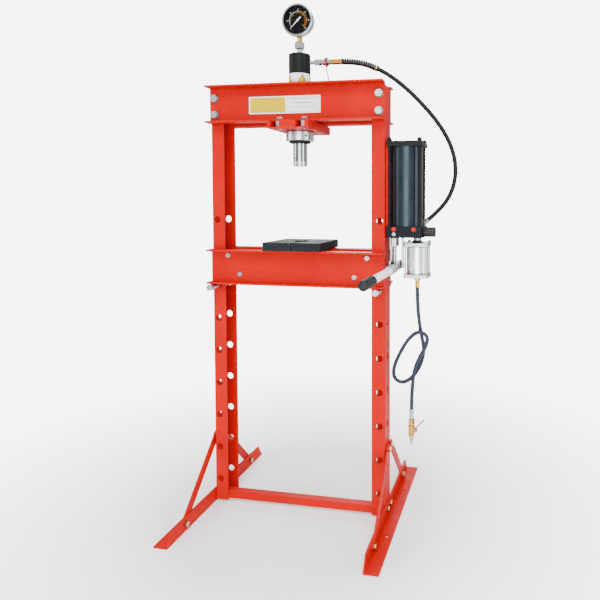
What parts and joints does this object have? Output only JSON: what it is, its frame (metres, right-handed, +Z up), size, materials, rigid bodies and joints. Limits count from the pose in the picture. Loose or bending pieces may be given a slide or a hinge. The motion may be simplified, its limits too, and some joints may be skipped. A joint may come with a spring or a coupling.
{
  "type": "hydraulic shop press",
  "caption": "Floor-standing H-frame hydraulic shop press with an air-assisted hand pump, pressure gauge, ram, height-adjustable bed held on pins and loose arbor plates.",
  "frame": {"origin": "middle of the four floor anchor holes, on the floor", "axes": "X across the frame between the uprights, with the pump on +X; -Y is the operator's side; +Z up"},
  "size_m": [0.9295, 0.79, 1.795],
  "materials": {
    "frame_paint": "gloss",
    "zinc_bolts": "satin",
    "yellow_zinc": "satin",
    "ram_paint": "satin",
    "machined_steel": "satin",
    "seal_black": "matte",
    "hard_chrome": "polished",
    "spring_steel": "satin",
    "fitting_brass": "satin",
    "gauge_case_steel": "satin",
    "bezel_chrome": "polished",
    "dial_face": "matte",
    "gauge_glass": "polished",
    "needle_white": "matte",
    "plate_white": "satin",
    "bright_steel": "satin",
    "arbor_paint": "satin",
    "pump_paint": "gloss",
    "plug_red": "satin",
    "knob_black": "gloss",
    "linkage_zinc": "satin",
    "handle_paint": "gloss",
    "grip_rubber": "matte",
    "motor_aluminium": "satin",
    "motor_cap_grey": "matte",
    "hose_black": "satin",
    "guard_black": "satin",
    "coupler_steel": "satin",
    "elbow_grey": "satin",
    "strap_red": "satin",
    "cap_red": "satin",
    "air_hose_blue": "satin",
    "valve_brass": "satin",
    "valve_lever_red": "satin",
    "nipple_steel": "satin"
  },
  "bodies": {
    "root": {"upright_left": "frame_paint", "upright_right": "frame_paint", "top_beam_front": "frame_paint", "top_beam_rear": "frame_paint", "head_plate": "frame_paint", "frame_bolts": "zinc_bolts", "ram_cylinder": "ram_paint", "ram_lock_ring": "machined_steel", "rod_gland": "seal_black", "return_spring": "spring_steel", "gauge_stem": "bright_steel", "gauge_fitting": "fitting_brass", "gauge_case": "gauge_case_steel", "gauge_bezel": "bezel_chrome", "gauge_dial": "dial_face", "gauge_glass": "gauge_glass", "name_plate": "plate_white", "foot_left": "frame_paint", "foot_right": "frame_paint", "foot_braces": "frame_paint", "cross_tie": "frame_paint", "base_bolts": "yellow_zinc", "pump_bracket": "frame_paint", "pump_block": "pump_paint", "reservoir_tube": "pump_paint", "reservoir_cap": "pump_paint", "tie_rods": "pump_paint", "block_plugs": "plug_red", "pump_glands": "coupler_steel", "pump_links": "linkage_zinc", "air_motor_tube": "motor_aluminium", "air_motor_caps": "motor_cap_grey", "air_barb": "fitting_brass", "hydraulic_hose": "hose_black", "air_hose": "air_hose_blue", "cap_strap": "strap_red", "spring_guard": "guard_black", "port_fittings": "coupler_steel", "hose_ferrule": "fitting_brass", "hose_elbow": "elbow_grey", "dust_cap": "cap_red", "air_ferrule": "coupler_steel", "valve_body": "valve_brass", "air_nipple": "nipple_steel"},
    "ram": {"ram_piston": "hard_chrome", "ram_nose": "machined_steel"},
    "needle": {"gauge_needle": "needle_white"},
    "bed": {"bed_channel_front": "frame_paint", "bed_channel_rear": "frame_paint", "bed_rods": "bright_steel"},
    "plate_left": {"arbor_plate_left": "arbor_paint"},
    "plate_right": {"arbor_plate_right": "arbor_paint"},
    "pin_left": {"bed_pin_left": "zinc_bolts"},
    "pin_right": {"bed_pin_right": "zinc_bolts"},
    "lever": {"lever_socket": "linkage_zinc", "handle_tube": "handle_paint", "handle_grip": "grip_rubber"},
    "plunger": {"pump_plunger": "hard_chrome"},
    "release": {"release_knob": "knob_black"},
    "valve_handle": {"valve_lever": "valve_lever_red"}
  },
  "joints": [
    {"name": "ram_stroke", "type": "slide", "parent": "root", "child": "ram", "axis": [0, 0, -1], "range_m": [0, 0.185], "stiffness_N_per_m": 400, "springref_m": -0.2, "deforming": ["return_spring"]},
    {"name": "gauge_reading", "type": "hinge", "parent": "root", "child": "needle", "pos_m": [0, -0.018, 1.738], "axis": [0, 1, 0], "range_deg": [0, 270], "stiffness_Nm_per_rad": 0.002},
    {"name": "bed_height", "type": "slide", "parent": "root", "child": "bed", "axis": [0, 0, 1], "range_m": [-0.714, 0]},
    {"name": "plate_left_slide", "type": "slide", "parent": "bed", "child": "plate_left", "axis": [-1, 0, 0], "range_m": [0, 0.06]},
    {"name": "plate_right_slide", "type": "slide", "parent": "bed", "child": "plate_right", "axis": [1, 0, 0], "range_m": [0, 0.06]},
    {"name": "pin_left_pull", "type": "slide", "parent": "bed", "child": "pin_left", "axis": [0, -1, 0], "range_m": [0, 0.2]},
    {"name": "pin_right_pull", "type": "slide", "parent": "bed", "child": "pin_right", "axis": [0, -1, 0], "range_m": [0, 0.2]},
    {"name": "lever_swing", "type": "hinge", "parent": "root", "child": "lever", "pos_m": [0.352, 0.005, 0.885], "axis": [-1, 0, 0], "range_deg": [-15, 20]},
    {"name": "plunger_stroke", "type": "slide", "parent": "root", "child": "plunger", "axis": [0, 0, 1], "range_m": [-0.011, 0.0145]},
    {"name": "release_turn", "type": "hinge", "parent": "root", "child": "release", "pos_m": [0.475, -0.025, 1.003], "axis": [1, 0, 0], "range_deg": [0, 270]},
    {"name": "air_valve_turn", "type": "hinge", "parent": "root", "child": "valve_handle", "pos_m": [0.408, -0.013, 0.312], "axis": [1, 0, 0], "range_deg": [0, 90]}
  ],
  "couplings": [
    {"joint": "plunger_stroke", "follows": "lever_swing", "m_per_rad": 0.04}
  ]
}
